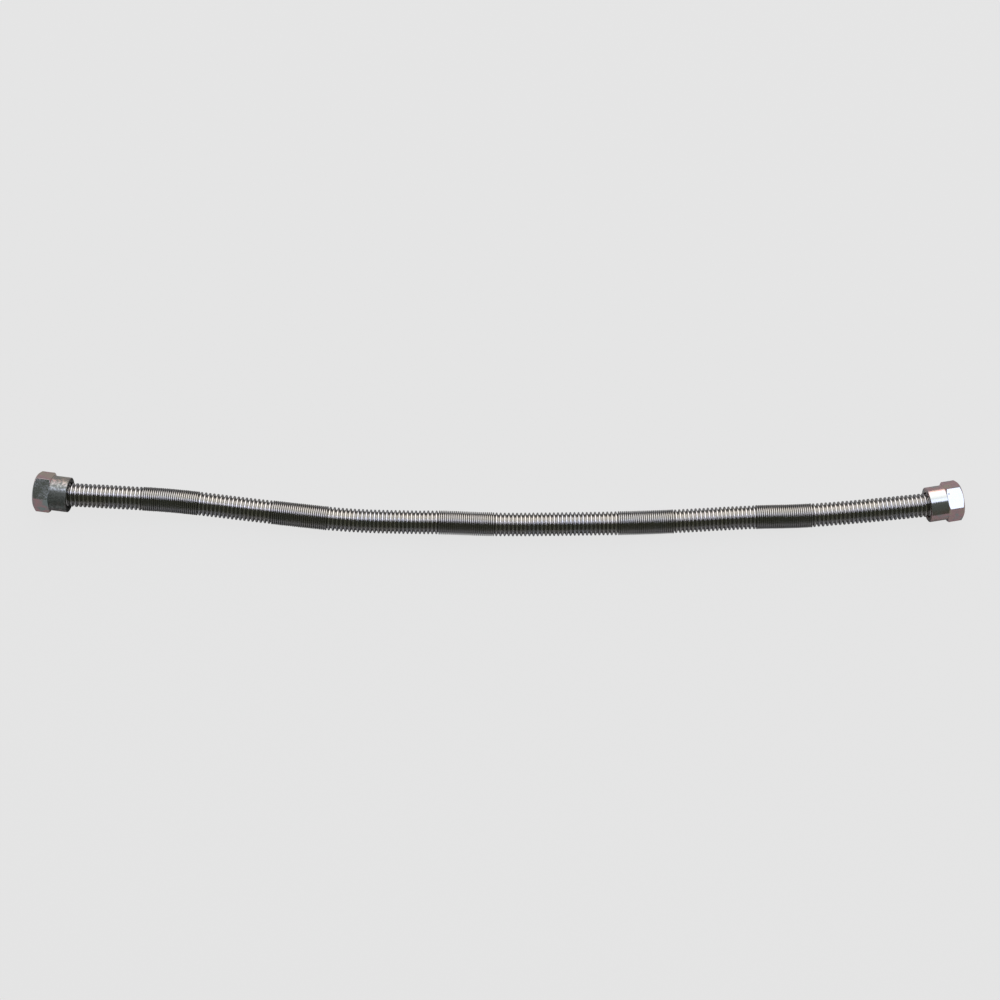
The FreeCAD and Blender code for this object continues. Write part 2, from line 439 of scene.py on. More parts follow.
def ridged_stretch_tree():
    """A node group that makes one stretch of ridges round a centre line, as a grid bent into a tube."""
    tree, given, made = new_tree(
        "Ridged Stretch",
        "GeometryNodeTree",
        [
            ("Centre Line", "Geometry"), ("Start", "Float"), ("Pitch", "Float"), ("Ridges", "Int"),
            ("Steps", "Int"), ("Sides", "Int"), ("Root Radius", "Float"), ("Crest Radius", "Float"),
            ("Fullness", "Float"), ("Squareness", "Float"), ("Polish", "Float"), ("Unevenness", "Float"),
            ("Seed", "Int"),
        ],
        [("Tube", "Geometry"), ("End", "Float")],
    )
    rings = calc(tree, "MULTIPLY_ADD", given["Ridges"], given["Steps"], 1)
    around = calc(tree, "ADD", given["Sides"], 1)
    grid = add_node(tree, "GeometryNodeMeshGrid", {"Vertices X": rings, "Vertices Y": around})
    index = add_node(tree, "GeometryNodeInputIndex").outputs[0]
    ring = calc(tree, "FLOOR", calc(tree, "DIVIDE", calc(tree, "ADD", index, 0.5), around))
    place = calc(tree, "SUBTRACT", index, calc(tree, "MULTIPLY", ring, around))
    even = calc(tree, "DIVIDE", ring, given["Steps"])
    wave = calc(tree, "SINE", calc(tree, "MULTIPLY", even, 2 * math.pi))
    ridge = calc(tree, "MULTIPLY_ADD", wave, -CROWDING / (2 * math.pi), even)
    distance = calc(tree, "MULTIPLY_ADD", ridge, given["Pitch"], given["Start"])
    sampling = {"Curves": given["Centre Line"], "Length": distance}
    sample = add_node(tree, "GeometryNodeSampleCurve", sampling, mode="LENGTH").outputs
    along = calc_vector(tree, "NORMALIZE", sample["Tangent"])
    side = calc_vector(tree, "NORMALIZE", calc_vector(tree, "CROSS_PRODUCT", UP, along))
    upright = calc_vector(tree, "CROSS_PRODUCT", along, side)

    root_part = calc(tree, "ABSOLUTE", calc(tree, "COSINE", calc(tree, "MULTIPLY", ridge, math.pi)))
    groove = calc(tree, "POWER", root_part, given["Fullness"])
    deep = calc(tree, "POWER", groove, given["Squareness"])
    high = calc(tree, "POWER", calc(tree, "SUBTRACT", 1, groove), given["Squareness"])
    swell = calc(tree, "DIVIDE", high, calc(tree, "ADD", high, deep))
    number = calc(tree, "FLOOR", even)
    drawn = {2: -1.0, 3: 1.0, 7: number, 8: given["Seed"]}
    chance = add_node(tree, "FunctionNodeRandomValue", drawn, data_type="FLOAT").outputs[1]
    height = calc(tree, "SUBTRACT", given["Crest Radius"], given["Root Radius"])
    uneven_height = calc(tree, "MULTIPLY_ADD", chance, given["Unevenness"], height)
    radius = calc(tree, "MULTIPLY_ADD", swell, uneven_height, given["Root Radius"])
    angle = calc(tree, "MULTIPLY", calc(tree, "DIVIDE", place, given["Sides"]), 2 * math.pi)
    sideways = scaled(tree, side, calc(tree, "MULTIPLY", radius, calc(tree, "COSINE", angle)))
    upwards = scaled(tree, upright, calc(tree, "MULTIPLY", radius, calc(tree, "SINE", angle)))
    outwards = calc_vector(tree, "ADD", sideways, upwards)
    position = calc_vector(tree, "ADD", sample["Position"], outwards)
    moved = {"Geometry": grid.outputs["Mesh"], "Position": position}
    tube = add_node(tree, "GeometryNodeSetPosition", moved).outputs[0]
    # Painted shade: the share of the ridge colour falls to 0 in the roots and is lower all over the closed-up
    # stretches
    unshaded_share = calc(tree, "MULTIPLY", swell, given["Polish"])
    for name, value in (("crest", unshaded_share), ("ridge_chance", chance)):
        stored = {"Geometry": tube, "Name": name, "Value": value}
        store = add_node(tree, "GeometryNodeStoreNamedAttribute", stored, data_type="FLOAT", domain="POINT")
        tube = store.outputs[0]
    tree.links.new(tube, made["Tube"])
    end = calc(tree, "MULTIPLY_ADD", given["Ridges"], given["Pitch"], given["Start"])
    tree.links.new(end, made["End"])
    return tree


def hose_tree(stretch_tree):
    """The hose's node tree: stretches of open and closed-up ridges outside, the bore inside."""
    inputs = [
        ("Geometry", "Geometry"), ("Centre Line", "Object"), ("Open Crest Radius", "Float"),
        ("Closed Crest Radius", "Float"), ("Root Radius", "Float"), ("Wall", "Float"),
        ("Closed Pitch", "Float"), ("Closed Ridges", "Int"), ("End Pull", "Float"),
        ("Open Fullness", "Float"), ("Closed Fullness", "Float"), ("Open Squareness", "Float"),
        ("Cuff Length", "Float"), ("Sides", "Int"), ("Unevenness", "Float"), ("Seed", "Int"),
        ("Material", "Material"),
    ]
    inputs += [(f"Open Ridges {number}", "Int") for number in range(1, len(OPEN_RIDGES) + 1)]
    tree, given, made = new_tree("Corrugated Hose", "GeometryNodeTree", inputs, [("Geometry", "Geometry")])
    line = add_node(tree, "GeometryNodeObjectInfo", {"Object": given["Centre Line"]}).outputs["Geometry"]
    length = add_node(tree, "GeometryNodeCurveLength", {"Curve": line}).outputs[0]
    counts = [given[f"Open Ridges {number}"] for number in range(1, len(OPEN_RIDGES) + 1)]
    end_count = calc(tree, "ADD", counts[0], counts[-1])
    open_count = calc(tree, "MULTIPLY", end_count, given["End Pull"])
    for count in counts[1:-1]:
        open_count = calc(tree, "ADD", open_count, count)
    closed_length = calc(tree, "MULTIPLY", given["Closed Ridges"], given["Closed Pitch"])
    all_closed = calc(tree, "MULTIPLY", closed_length, len(counts) - 1)
    cuffs = calc(tree, "MULTIPLY", given["Cuff Length"], 2)
    for_ridges = calc(tree, "SUBTRACT", length, cuffs)
    open_pitch = calc(tree, "DIVIDE", calc(tree, "SUBTRACT", for_ridges, all_closed), open_count)
    end_pitch = calc(tree, "MULTIPLY", open_pitch, given["End Pull"])

    def stretch(start, **changes):
        """The tube of one stretch, which is one of open ridges but for the changes, and where it ends."""
        values = {
            "centre_line": line,
            "start": start,
            "pitch": open_pitch,
            "steps": OPEN_STEPS,
            "sides": given["Sides"],
            "root_radius": given["Root Radius"],
            "crest_radius": given["Open Crest Radius"],
            "fullness": given["Open Fullness"],
            "squareness": given["Open Squareness"],
            "polish": 1.0,
            "unevenness": given["Unevenness"],
            "seed": given["Seed"],
        }
        made_here = use_group(tree, stretch_tree, **{**values, **changes})
        return made_here["Tube"], made_here["End"]

    outside = []
    start = given["Cuff Length"]
    for number, count in enumerate(counts):
        seed = calc(tree, "ADD", given["Seed"], number)
        pitch = end_pitch if number in (0, len(counts) - 1) else open_pitch
        tube, start = stretch(start, pitch=pitch, ridges=count, seed=seed)
        outside.append(tube)
        if number < len(counts) - 1:
            tube, start = stretch(
                start,
                ridges=given["Closed Ridges"],
                pitch=given["Closed Pitch"],
                crest_radius=given["Closed Crest Radius"],
                steps=CLOSED_STEPS,
                fullness=given["Closed Fullness"],
                squareness=1.0,
                # Painted shade on the closed-up ridges
                polish=CLOSED_UNSHADED_PART,
                seed=calc(tree, "ADD", seed, CLOSED_SEED),
            )
            outside.append(tube)

    inner_root = calc(tree, "SUBTRACT", given["Root Radius"], given["Wall"])
    inner_crest = calc(tree, "SUBTRACT", given["Open Crest Radius"], given["Wall"])
    inner = {
        "ridges": INNER_RIDGES,
        "pitch": end_pitch,
        "steps": INNER_STEPS,
        "sides": INNER_SIDES,
        "root_radius": inner_root,
        "crest_radius": inner_crest,
        "fullness": 2.0,
        "squareness": 1.0,
        "unevenness": 0.0,
    }
    far_end = calc(tree, "SUBTRACT", length, given["Cuff Length"])
    far_start = calc(tree, "SUBTRACT", far_end, calc(tree, "MULTIPLY", end_pitch, INNER_RIDGES))
    near, near_end = stretch(given["Cuff Length"], **inner)
    far, _ = stretch(far_start, **inner)
    between = calc(tree, "SUBTRACT", far_start, near_end)
    inner.update(ridges=1, pitch=between, steps=MIDDLE_STEPS, crest_radius=inner_root)
    middle, _ = stretch(near_end, **inner)
    inside = add_node(tree, "GeometryNodeJoinGeometry")
    for tube in (near, middle, far):
        tree.links.new(tube, inside.inputs[0])
    flipped = add_node(tree, "GeometryNodeFlipFaces", {"Mesh": inside.outputs[0]})
    joined = add_node(tree, "GeometryNodeJoinGeometry")
    for tube in outside + [flipped.outputs[0]]:
        tree.links.new(tube, joined.inputs[0])
    merging = {"Geometry": joined.outputs[0], "Distance": HOSE_MERGE_DISTANCE}
    merged = add_node(tree, "GeometryNodeMergeByDistance", merging)
    smooth = add_node(tree, "GeometryNodeSetShadeSmooth", {"Geometry": merged.outputs[0]})
    whole = add_node(tree, "GeometryNodeRealizeInstances", {"Geometry": smooth.outputs[0]})
    finished = add_node(
        tree, "GeometryNodeSetMaterial", {"Geometry": whole.outputs[0], "Material": given["Material"]}
    )
    tree.links.new(finished.outputs[0], made["Geometry"])
    return tree


def centre_line_object():
    """The centre line as a smooth curve with the route's points as its control points."""
    curve = bpy.data.curves.new("hose_centre_line", "CURVE")
    curve.dimensions = "3D"
    spline = curve.splines.new("NURBS")
    spline.points.add(len(ROUTE) - 1)
    for point, place in zip(spline.points, ROUTE):
        point.co = (*place, 1)
    spline.order_u = 3
    spline.use_endpoint_u = True
    spline.resolution_u = ROUTE_RESOLUTION
    obj = bpy.data.objects.new("hose_centre_line", curve)
    bpy.context.scene.collection.objects.link(obj)
    return obj


def evaluated_mesh(obj):
    """A plain mesh of an object as its modifiers leave it."""
    bpy.context.view_layer.update()
    depsgraph = bpy.context.evaluated_depsgraph_get()
    return bpy.data.meshes.new_from_object(obj.evaluated_get(depsgraph), depsgraph=depsgraph)


def place_matrix(point, direction):
    """A matrix that puts a shape's X along a direction, with its Z as upright as that allows."""
    along = Vector(direction).normalized()
    side = UP.cross(along).normalized()
    upright = along.cross(side)
    matrix = Matrix((along, side, upright)).transposed().to_4x4()
    matrix.translation = Vector(point)
    return matrix


def new_piece(name, mesh, material):
    """A shown piece with a mesh and its one material."""
    obj = bpy.data.objects.new(name, mesh)
    bpy.context.scene.collection.objects.link(obj)
    mesh.materials.clear()
    mesh.materials.append(material)
    return obj


def rounded(corners):
    """A line through corners, each given as its (distance along, radius) and its arc's radius, 0 for none."""
    points = [Vector(point) for point, _ in corners]
    result = []
    for index, (here, (_, arc)) in enumerate(zip(points, corners)):
        if arc == 0:
            result.append(here)
            continue
        back = points[index - 1] - here
        forth = points[index + 1] - here
        half_angle = back.angle(forth) / 2
        reach = min(arc / math.tan(half_angle), ARC_SHARE * back.length, ARC_SHARE * forth.length)
        start = here + back.normalized() * reach
        end = here + forth.normalized() * reach
        arc = reach * math.tan(half_angle)
        inward = (back.normalized() + forth.normalized()).normalized()
        centre = here + inward * (arc / math.sin(half_angle))
        for step in range(ARC_STEPS + 1):
            between = start.lerp(end, step / ARC_STEPS) - centre
            result.append(centre + between.normalized() * arc)
    return [tuple(point) for point in result]


def turned(line, angle):
    """A line of (distance along, radius) points as places, turned about X by an angle."""
    return [(x, radius * math.cos(angle), radius * math.sin(angle)) for x, radius in line]


def shade_by_area(mesh):
    """The mesh with smooth normals that lean towards its large faces, so that flats stay flat."""
    obj = bpy.data.objects.new("shading", mesh)
    bpy.context.scene.collection.objects.link(obj)
    for polygon in mesh.polygons:
        polygon.use_smooth = True
    modifier = obj.modifiers.new("Weighted Normal", "WEIGHTED_NORMAL")
    modifier.mode = "FACE_AREA"
    modifier.weight = 60
    shaded = evaluated_mesh(obj)
    bpy.data.objects.remove(obj)
    return shaded


def mesh_from_rows(name, rows):
    """A mesh of quads from rows of points, with its doubles merged and its faces pointing outwards."""
    form = bmesh.new()
    grid = [[form.verts.new(point) for point in row] for row in rows]
    for lower, upper in zip(grid, grid[1:]):
        for column in range(len(lower) - 1):
            form.faces.new((lower[column], lower[column + 1], upper[column + 1], upper[column]))
    bmesh.ops.remove_doubles(form, verts=form.verts, dist=MERGE_DISTANCE)
    bmesh.ops.recalc_face_normals(form, faces=form.faces)
    mesh = bpy.data.meshes.new(name)
    form.to_mesh(mesh)
    form.free()
    return mesh


def flanged_cuff_mesh(settings):
    """A flange and the plain cuff behind it, about X, from the sealing face at the origin."""
    bore = settings.root - settings.wall
    outer = settings.root + CUFF_LAP
    outline = rounded([
        ((settings.cuff_length, bore), 0),
        ((0, bore), 0.0003),
        ((0, settings.flange_radius), 0.0002),
        ((settings.flange_thickness, settings.flange_radius), 0.0002),
        ((settings.flange_thickness, outer), 0.0003),
        ((settings.cuff_length, outer), 0.0001),
        ((settings.cuff_length, bore), 0),
    ])
    angles = [2 * math.pi * count / CUFF_SIDES for count in range(CUFF_SIDES + 1)]
    return mesh_from_rows("flanged_cuff", [turned(outline, angle) for angle in angles])


def corner_span(inradius):
    """Angle from a corner's middle to where its rounding meets the flat."""
    sixth = math.pi / 3
    return sixth / 2 - math.atan((inradius - CORNER_ROUND) * math.tan(sixth / 2) / inradius)


def hexagon_radius(angle, inradius):
    """Distance from the axis to the hexagon's outline at an angle from one of its corners, in radians."""
    sixth = math.pi / 3
    off = abs((angle + sixth / 2) % sixth - sixth / 2)
    centre = (inradius - CORNER_ROUND) / math.cos(sixth / 2)
    if off < corner_span(inradius):
        return centre * math.cos(off) + math.sqrt(CORNER_ROUND**2 - (centre * math.sin(off)) ** 2)
    return inradius / math.cos(sixth / 2 - off)


def nut_angles(inradius):
    """Angles round a nut, close together at the rounded corners, in radians."""
    edge = corner_span(inradius)
    half = [0, edge / 3, edge * 2 / 3, edge] + [math.radians(angle) for angle in FLAT_ANGLES]
    sector = half + [math.pi / 3 - offset for offset in reversed(half[1:-1])]
    angles = [corner * math.pi / 3 + offset for corner in range(6) for offset in sector]
    return angles + [2 * math.pi]


def thread_radius(phase, depth):
    """Radius of the internal thread at a share of a turn: rounded crests and roots, flat flanks."""
    flank = abs(2 * (phase % 1.0) - 1)
    return THREAD_CORE_RADIUS + depth * (1 - flank * flank * (3 - 2 * flank))


def nut_mesh(name, settings):
    """A union nut about X from its mouth at the origin: hexagon, collar, shoulder, relief and thread."""
    inradius = settings.across_flats / 2
    corner = inradius / math.cos(math.pi / 6)
    slope = math.tan(settings.chamfer_angle)
    groove = THREAD_CORE_RADIUS + settings.thread_depth
    relief = groove + RELIEF_GAP
    mouth_face = corner - settings.mouth_chamfer
    back_face = corner - settings.back_chamfer
    thread_steps = range(int(THREAD_END / settings.thread_pitch * THREAD_STEPS) + 2, -THREAD_STEPS - 1, -1)
    rows = []
    for angle in nut_angles(inradius):
        radius = hexagon_radius(angle, inradius)
        front = (radius - mouth_face) * slope
        back_radius = min(radius - LEAST_CHAMFER, back_face)
        back = (radius - back_radius) * slope
        line = rounded([
            ((0, relief), 0),
            ((0, mouth_face), 0.0002),
            ((front, radius), 0.00015),
            ((settings.hexagon_length - back, radius), 0.0001),
            ((settings.hexagon_length, back_radius), 0.0001),
            ((settings.hexagon_length, settings.collar_radius), 0.0003),
            ((settings.length - RIM_CHAMFER, settings.collar_radius), 0.0001),
            ((settings.length, settings.collar_radius - RIM_CHAMFER), 0.0001),
            ((settings.length, settings.collar_bore), 0.0003),
            ((SHOULDER_DEPTH, settings.collar_bore), 0.0002),
            ((SHOULDER_DEPTH, relief), 0.0002),
            ((THREAD_END, relief), 0.0002),
            ((THREAD_END, groove), 0),
        ])
        turn = angle / (2 * math.pi)
        for step in thread_steps:
            x = min(max(settings.thread_pitch * (step / THREAD_STEPS + turn), 0), THREAD_END)
            thread = thread_radius(x / settings.thread_pitch - turn, settings.thread_depth)
            line.append((x, max(thread, relief - x)))
        rows.append(turned(line, angle))
    return mesh_from_rows(name, rows)


def marks_group():
    """The shader group for light handling marks, a mask of smudges and a fine grain, which is made once."""
    name = "Handling Marks"
    if name in bpy.data.node_groups:
        return bpy.data.node_groups[name]
    tree, given, made = new_tree(
        name,
        "ShaderNodeTree",
        [("Vector", "Vector"), ("Smudge Size", "Float"), ("Grain Size", "Float")],
        [("Smudges", "Float"), ("Grain", "Float")],
    )
    smudges = noise(tree, given["Vector"], calc(tree, "DIVIDE", 1, given["Smudge Size"]), 4.0)
    tree.links.new(map_value(tree, smudges, 0, 1, 0.35, 0.68), made["Smudges"])
    grain = noise(tree, given["Vector"], calc(tree, "DIVIDE", 1, given["Grain Size"]), 5.0)
    tree.links.new(grain, made["Grain"])
    return tree


def new_material(name):
    """A material, its tree, its shader and the object coordinates."""
    material = bpy.data.materials.new(name)
    material.use_nodes = True
    tree = material.node_tree
    shader = tree.nodes["Principled BSDF"]
    place = tree.nodes.new("ShaderNodeTexCoord").outputs["Object"]
    return material, tree, shader, place


def bump(tree, shader, height, distance):
    """Fine relief on a shader's surface."""
    node = add_node(tree, "ShaderNodeBump", {"Height": height, "Distance": distance, "Strength": 1.0})
    tree.links.new(node.outputs["Normal"], shader.inputs["Normal"])


def attribute(tree, name):
    """A value that the mesh carries at its points."""
    return add_node(tree, "ShaderNodeAttribute", attribute_name=name).outputs["Fac"]


def tint_patches(tree, place, size, first, *others):
    """The first colour, which turns to each of the others in soft patches."""
    color = first
    for number, other in enumerate(others):
        shifted = calc_vector(tree, "ADD", place, (0.31 * number, 0.17 * number, 0.53 * number))
        clouds = noise(tree, shifted, (1 + 0.7 * number) / size, 2.0, 0.6)
        amount = add_node(
            tree,
            "ShaderNodeMapRange",
            {"Value": clouds, "From Min": 0.4, "From Max": 0.62},
            interpolation_type="SMOOTHSTEP",
        )
        color = mix_color(tree, amount.outputs["Result"], color, other)
    return color


def hose_material(settings):
    """Bright stainless steel, with painted shade between the ridges and on the closed-up ridges."""
    material, tree, shader, place = new_material("formed stainless steel")
    marks = use_group(tree, marks_group(), vector=place, smudge_size=0.012, grain_size=0.0004)
    tints = (tuple(tint) for tint in (settings.crest_color, settings.cool_color, settings.warm_color))
    # Painted shade: the dark groove colour takes over between the ridges and on the closed-up stretches
    unshaded_share = map_value(tree, attribute(tree, "crest"), 0, 1, 0, 0.6)
    color = mix_color(tree, unshaded_share, tuple(settings.groove_shade_color), tint_patches(tree, place, 0.03, *tints))
    tree.links.new(color, shader.inputs["Base Color"])
    shader.inputs["Metallic"].default_value = 1
    chance = map_value(tree, attribute(tree, "ridge_chance"), 0, 0.05, -1, 1)
    rough = calc(tree, "ADD", map_value(tree, marks["Smudges"], 0.06, 0.14), chance)
    tree.links.new(mix_value(tree, unshaded_share, 0.22, rough), shader.inputs["Roughness"])
    shader.inputs["Specular Tint"].default_value = (0.55, 0.54, 0.52, 1)
    bump(tree, shader, marks["Grain"], 0.00001)
    return material


def nut_material(settings):
    """Steel with a thin iridescent plating, whose tint shifts in soft patches and with the slant."""
    material, tree, shader, place = new_material("plated steel")
    marks = use_group(tree, marks_group(), vector=place, smudge_size=0.006, grain_size=0.0005)
    scuffs = use_group(tree, marks_group(), vector=place, smudge_size=0.0014, grain_size=0.0003)
    scuffed = calc(tree, "MULTIPLY", attribute(tree, "wear"), map_value(tree, scuffs["Smudges"], 0.5, 1.15))
    spot = map_value(tree, measured(tree, "DISTANCE", place, SPOT_PLACE), 0.7, 0, SPOT_CORE, SPOT_RIM)
    # Painted shade behind the collar's rim, joined with the real dark spot on the right nut
    shade_and_spot = calc(tree, "MAXIMUM", attribute(tree, "shade_and_spot"), spot)

    shift = map_value(tree, noise(tree, place, 160.0, 2.0, 0.5), -0.45, 0.45, 0.3, 0.7)
    tint = calc(tree, "ADD", attribute(tree, "tint"), shift)
    sand, pink, green, level, worn, shade_and_spot_dark = (
        tuple(color)
        for color in (
            settings.sand_color, settings.pink_color, settings.green_color,
            settings.level_color, settings.worn_color, settings.shade_and_spot_color,
        )
    )
    color = mix_color(tree, map_value(tree, tint, 0, 1, 0, 0.5), sand, pink)
    color = mix_color(tree, map_value(tree, tint, 0, 1, 0.5, 1), color, green)
    slant = add_node(tree, "ShaderNodeLayerWeight", {"Blend": 0.5}).outputs["Facing"]
    color = mix_color(tree, map_value(tree, slant, 1.0, 0.12, 0.08, 0.35), color, level)
    color = mix_color(tree, scuffed, color, worn)
    # The painted shade and the spot turn the colour dark
    color = mix_color(tree, shade_and_spot, color, shade_and_spot_dark)
    tree.links.new(color, shader.inputs["Base Color"])

    metal = mix_value(tree, scuffed, settings.metal_share, settings.worn_metal_share)
    tree.links.new(metal, shader.inputs["Metallic"])
    rough = calc(tree, "MULTIPLY_ADD", scuffed, 0.25, map_value(tree, marks["Smudges"], 0.07, 0.15))
    tree.links.new(mix_value(tree, shade_and_spot, rough, 0.6), shader.inputs["Roughness"])
    bump(tree, shader, marks["Grain"], 0.00002)
    return material


def mark_nut(mesh, settings, wear, shade_and_spot, tints):
    """Puts values on a nut's points: its collar's wear, the painted shade behind its rim, and the tint all round.
    """
    names = ("wear", "shade_and_spot", "tint")
    for name in names:
        mesh.attributes.new(name, "FLOAT", "POINT")
    worn, shade_values, tinted = (mesh.attributes[name].data for name in names)
    for index, vertex in enumerate(mesh.vertices):
        x, y, z = vertex.co
        radius = math.hypot(y, z)
        behind = x > settings.hexagon_length
        worn[index].value = wear if behind and radius > settings.collar_radius - WEAR_DEPTH else 0
        # Painted shade on the rim's end face and in the collar's bore
        shade_values[index].value = shade_and_spot if behind and radius < settings.collar_radius - SHADE_DEPTH else 0
        flats = math.degrees(math.atan2(z, y)) / 60 - 0.5
        first = math.floor(flats)
        share = min(max(2 * (flats - first) - 0.5, 0), 1)
        tinted[index].value = tints[first % 6] * (1 - share) + tints[(first + 1) % 6] * share


def gasket_material(settings):
    """Matt black rubber with a faint bloom."""
    material, tree, shader, place = new_material("gasket rubber")
    marks = use_group(tree, marks_group(), vector=place, smudge_size=0.003, grain_size=0.0003)
    color = mix_color(tree, marks["Smudges"], tuple(settings.color), tuple(settings.bloom_color))
    tree.links.new(color, shader.inputs["Base Color"])
    tree.links.new(map_value(tree, marks["Smudges"], 0.6, 0.8), shader.inputs["Roughness"])
    bump(tree, shader, marks["Grain"], 0.00003)
    return material


class CONNECTOR_OT_stage(bpy.types.Operator):
    """Makes the camera, the floor and the light"""

    bl_idname = "connector.stage"
    bl_label = "Stage"

    def execute(self, context):
        settings = context.scene.connector_stage
        elevation = settings.camera_elevation
        back = Vector((0, -math.cos(elevation), math.sin(elevation)))
        camera_data = bpy.data.cameras.new("camera")
        camera_data.sensor_width = 36
        camera_data.lens = settings.lens
        camera = bpy.data.objects.new("camera", camera_data)
        camera.location = CAMERA_TARGET + back * settings.camera_distance
        camera.rotation_euler = (math.pi / 2 - elevation, 0, 0)
        context.scene.collection.objects.link(camera)
        context.scene.camera = camera
        make_floor(settings)
        make_window(settings)
        make_room(settings)
        context.scene.view_settings.view_transform = "Standard"
        return {"FINISHED"}


def make_floor(settings):
    """A wide pale floor, which shows its own colour and keeps the object's shadow."""
    mesh = bpy.data.meshes.new("floor")
    signs = ((-1, -1), (1, -1), (1, 1), (-1, 1))
    mesh.from_pydata([(x * FLOOR_HALF, y * FLOOR_HALF, FLOOR_LEVEL) for x, y in signs], [], [(0, 1, 2, 3)])
    floor = bpy.data.objects.new("floor", mesh)
    bpy.context.scene.collection.objects.link(floor)
    material = bpy.data.materials.new("pale floor")
    material.use_nodes = True
    tree = material.node_tree
    tree.nodes.clear()
    output = tree.nodes.new("ShaderNodeOutputMaterial")
    paper = add_node(tree, "ShaderNodeBsdfDiffuse", {"Color": FLOOR_GREY})
    glow = add_node(tree, "ShaderNodeEmission", {"Color": tuple(settings.floor_color), "Strength": 1.0})
    rays = add_node(tree, "ShaderNodeLightPath").outputs
    seen = calc(tree, "MULTIPLY", seen_directly(tree, rays), FLOOR_SHOWN)
    mirrored = calc(tree, "MULTIPLY", rays["Is Glossy Ray"], FLOOR_MIRRORED)
    share = calc(tree, "MAXIMUM", seen, mirrored)
    mixed = add_node(tree, "ShaderNodeMixShader", {0: share, 1: paper.outputs[0], 2: glow.outputs[0]})
    tree.links.new(mixed.outputs[0], output.inputs["Surface"])
    mesh.materials.append(material)


def seen_directly(tree, rays):
    """1 for the rays with which the camera sees, also through something clear, and 0 for all others."""
    return calc(tree, "MAXIMUM", rays["Is Camera Ray"], rays["Is Transmission Ray"])


def make_window(settings):
    """A large soft light, level overhead, and the cooler, brighter part along its near edge."""
    near, far = WINDOW_EDGES
    add_lamp("window", settings, (near, far), WINDOW_HEIGHT, WINDOW_COLOR, settings.window_strength)
    lower = WINDOW_HEIGHT - EDGE_DROP
    add_lamp("window edge", settings, (near, EDGE_END), lower, EDGE_COLOR, settings.edge_strength)


def add_lamp(name, settings, edges, height, color, strength):
    """A level soft light, which reaches from one angle off the zenith to another, away to the far side."""
    near, far = (height * math.tan(math.radians(angle)) for angle in edges)
    data = bpy.data.lights.new(name, "AREA")
    data.shape = "RECTANGLE"
    data.size = WINDOW_WIDTH
    data.size_y = far - near
    data.color = color
    data.energy = strength * math.pi * WINDOW_WIDTH * (far - near)
    lamp = bpy.data.objects.new(name, data)
    turn = Matrix.Rotation(settings.window_turn, 4, "Z")
    lamp.matrix_world = turn @ Matrix.Translation((0, (near + far) / 2, height))
    bpy.context.scene.collection.objects.link(lamp)


def make_room(settings):
    """A dim room with a paler wall, which the metal reflects, and a pale backdrop, which the camera sees."""
    world = bpy.data.worlds.new("room")
    world.use_nodes = True
    tree = world.node_tree
    direction = tree.nodes.new("ShaderNodeTexCoord").outputs["Generated"]
    far_side = measured(tree, "DOT_PRODUCT", direction, WALL_DIRECTION)
    wall = map_value(tree, far_side, 0, 1, WALL_START, WALL_FULL)
    color = mix_color(tree, wall, ROOM_COLOR, WALL_COLOR)
    strength = map_value(tree, wall, settings.room_strength, settings.wall_strength)
    room = add_node(tree, "ShaderNodeBackground", {"Color": color, "Strength": strength})
    backdrop = add_node(
        tree, "ShaderNodeBackground", {"Color": tuple(settings.backdrop_color), "Strength": 1.0}
    )
    seen = seen_directly(tree, add_node(tree, "ShaderNodeLightPath").outputs)
    mixed = add_node(tree, "ShaderNodeMixShader", {0: seen, 1: room.outputs[0], 2: backdrop.outputs[0]})
    tree.links.new(mixed.outputs[0], tree.nodes["World Output"].inputs["Surface"])
    tree.nodes.remove(tree.nodes["Background"])
    bpy.context.scene.world = world


class CONNECTOR_OT_nuts(bpy.types.Operator):
    """Makes the two union nuts"""

    bl_idname = "connector.nuts"
    bl_label = "Union Nuts"

    def execute(self, context):
        settings = context.scene.connector_nut
        material = nut_material(settings)
        for side, wear, shade_and_spot, tints in NUT_MARKS:
            joint = JOINTS[f"{side}_nut_spin"]
            mesh = nut_mesh(f"{side}_nut", settings)
            mark_nut(mesh, settings, wear, shade_and_spot, tints)
            mesh = shade_by_area(mesh)
            mesh.transform(place_matrix(joint["pos_m"], -Vector(joint["axis"])))
            nut = new_piece(f"{side}_plated_nut", mesh, material)
            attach(nut, f"{side}_nut")
            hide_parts(f"{side}_union_nut")
        return {"FINISHED"}


class CONNECTOR_OT_gaskets(bpy.types.Operator):
    """Gives the two gaskets their rubber"""

    bl_idname = "connector.gaskets"
    bl_label = "Gaskets"

    def execute(self, context):
        material = gasket_material(context.scene.connector_gasket)
        for side in ("left", "right"):
            frame["nodes"][f"{side}_gasket"].material_slots[0].material = material
        return {"FINISHED"}


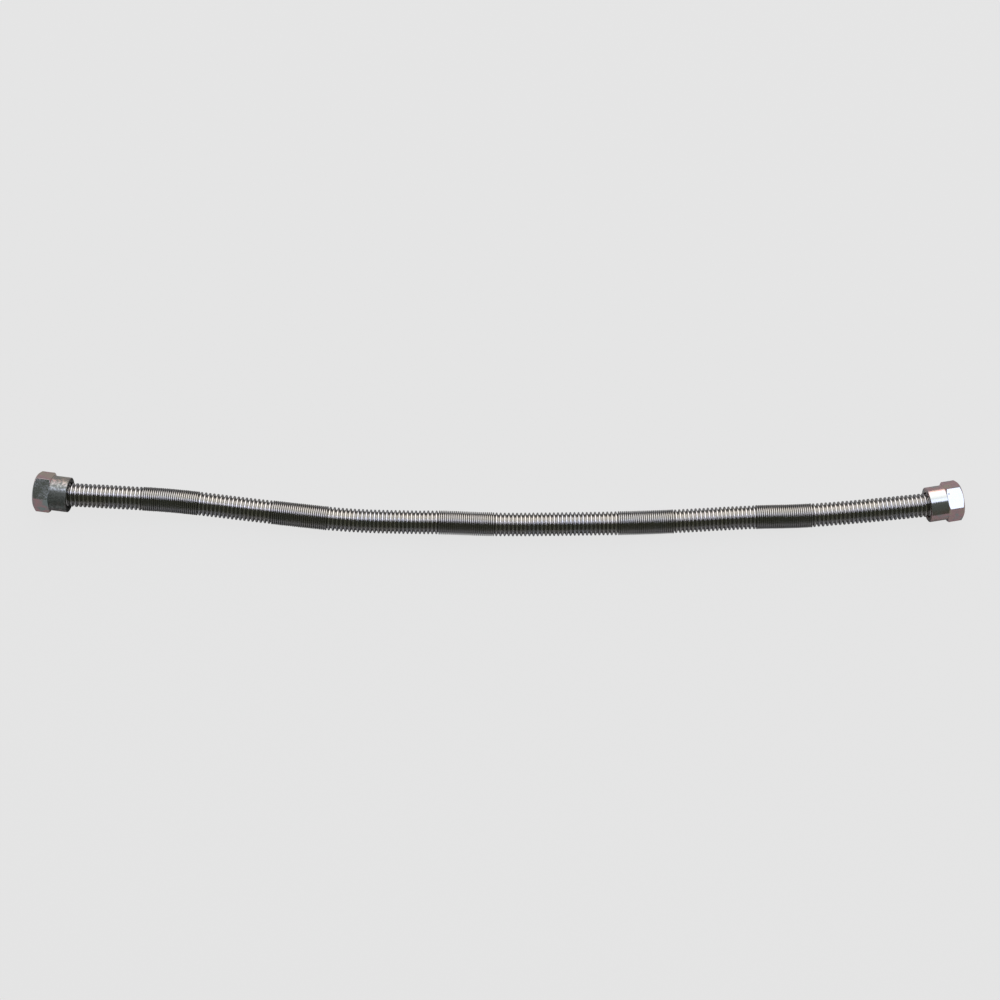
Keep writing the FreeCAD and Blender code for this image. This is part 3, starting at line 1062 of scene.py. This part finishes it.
class CONNECTOR_OT_hose(bpy.types.Operator):
    """Makes the corrugated hose along its route, with its flanges"""

    bl_idname = "connector.hose"
    bl_label = "Corrugated Hose"

    def execute(self, context):
        settings = context.scene.connector_hose
        material = hose_material(settings)
        line = centre_line_object()
        path = [tuple(vertex.co) for vertex in evaluated_mesh(line).vertices]
        tree = hose_tree(ridged_stretch_tree())
        base = bpy.data.objects.new("hose_base", bpy.data.meshes.new("hose_base"))
        context.scene.collection.objects.link(base)
        modifier = base.modifiers.new("Corrugated Hose", "NODES")
        modifier.node_group = tree
        # Each setting goes to the input of the node tree that has its name
        values = {prop.name: getattr(settings, key) for key, prop in settings.bl_rna.properties.items()}
        values.update({f"Open Ridges {number}": count for number, count in enumerate(OPEN_RIDGES, 1)})
        values.update({"Closed Ridges": CLOSED_RIDGES, "Centre Line": line, "Material": material})
        for item in tree.interface.items_tree:
            if item.in_out == "INPUT" and item.name in values:
                modifier[item.identifier] = values[item.name]
        tube = evaluated_mesh(base)
        form = bmesh.new()
        form.from_mesh(tube)
        for start, following in ((ROUTE[0], ROUTE[1]), (ROUTE[-1], ROUTE[-2])):
            cuff = flanged_cuff_mesh(settings)
            cuff.transform(place_matrix(start, Vector(following) - Vector(start)))
            form.from_mesh(cuff)
        form.to_mesh(tube)
        form.free()
        for polygon in tube.polygons:
            polygon.use_smooth = True
        for obj in (base, line):
            bpy.data.objects.remove(obj)
        hose = new_piece("ridged_hose", tube, material)
        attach(hose, "hose")
        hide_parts("corrugated_hose")
        return {"FINISHED"}


class CONNECTOR_PT_sidebar(bpy.types.Panel):
    """Lists the settings and the steps"""

    bl_idname = "CONNECTOR_PT_sidebar"
    bl_label = "Flexible Connector"
    bl_space_type = "VIEW_3D"
    bl_region_type = "UI"
    bl_category = "Connector"

    def draw(self, context):
        layout = self.layout
        for operator, name in STEPS:
            box = layout.box()
            settings = getattr(context.scene, name)
            for key in settings.__annotations__:
                box.prop(settings, key)
            box.operator(operator.bl_idname)


STEPS = (
    (CONNECTOR_OT_stage, "connector_stage"),
    (CONNECTOR_OT_nuts, "connector_nut"),
    (CONNECTOR_OT_gaskets, "connector_gasket"),
    (CONNECTOR_OT_hose, "connector_hose"),
)
SETTINGS = {
    "connector_stage": StageSettings,
    "connector_hose": HoseSettings,
    "connector_nut": NutSettings,
    "connector_gasket": GasketSettings,
}


def register():
    """Registers the classes and puts the settings on the scene."""
    for name, group in SETTINGS.items():
        bpy.utils.register_class(group)
        setattr(bpy.types.Scene, name, PointerProperty(type=group))
    for operator, _ in STEPS:
        bpy.utils.register_class(operator)
    bpy.utils.register_class(CONNECTOR_PT_sidebar)


def unregister():
    """Takes the settings off the scene and the classes out."""
    bpy.utils.unregister_class(CONNECTOR_PT_sidebar)
    for operator, _ in reversed(STEPS):
        bpy.utils.unregister_class(operator)
    for name, group in reversed(list(SETTINGS.items())):
        delattr(bpy.types.Scene, name)
        bpy.utils.unregister_class(group)


def main():
    """Builds the whole scene."""
    register()
    bpy.ops.connector.stage()
    bpy.ops.connector.nuts()
    bpy.ops.connector.gaskets()
    bpy.ops.connector.hose()


if __name__ == "__main__":
    main()
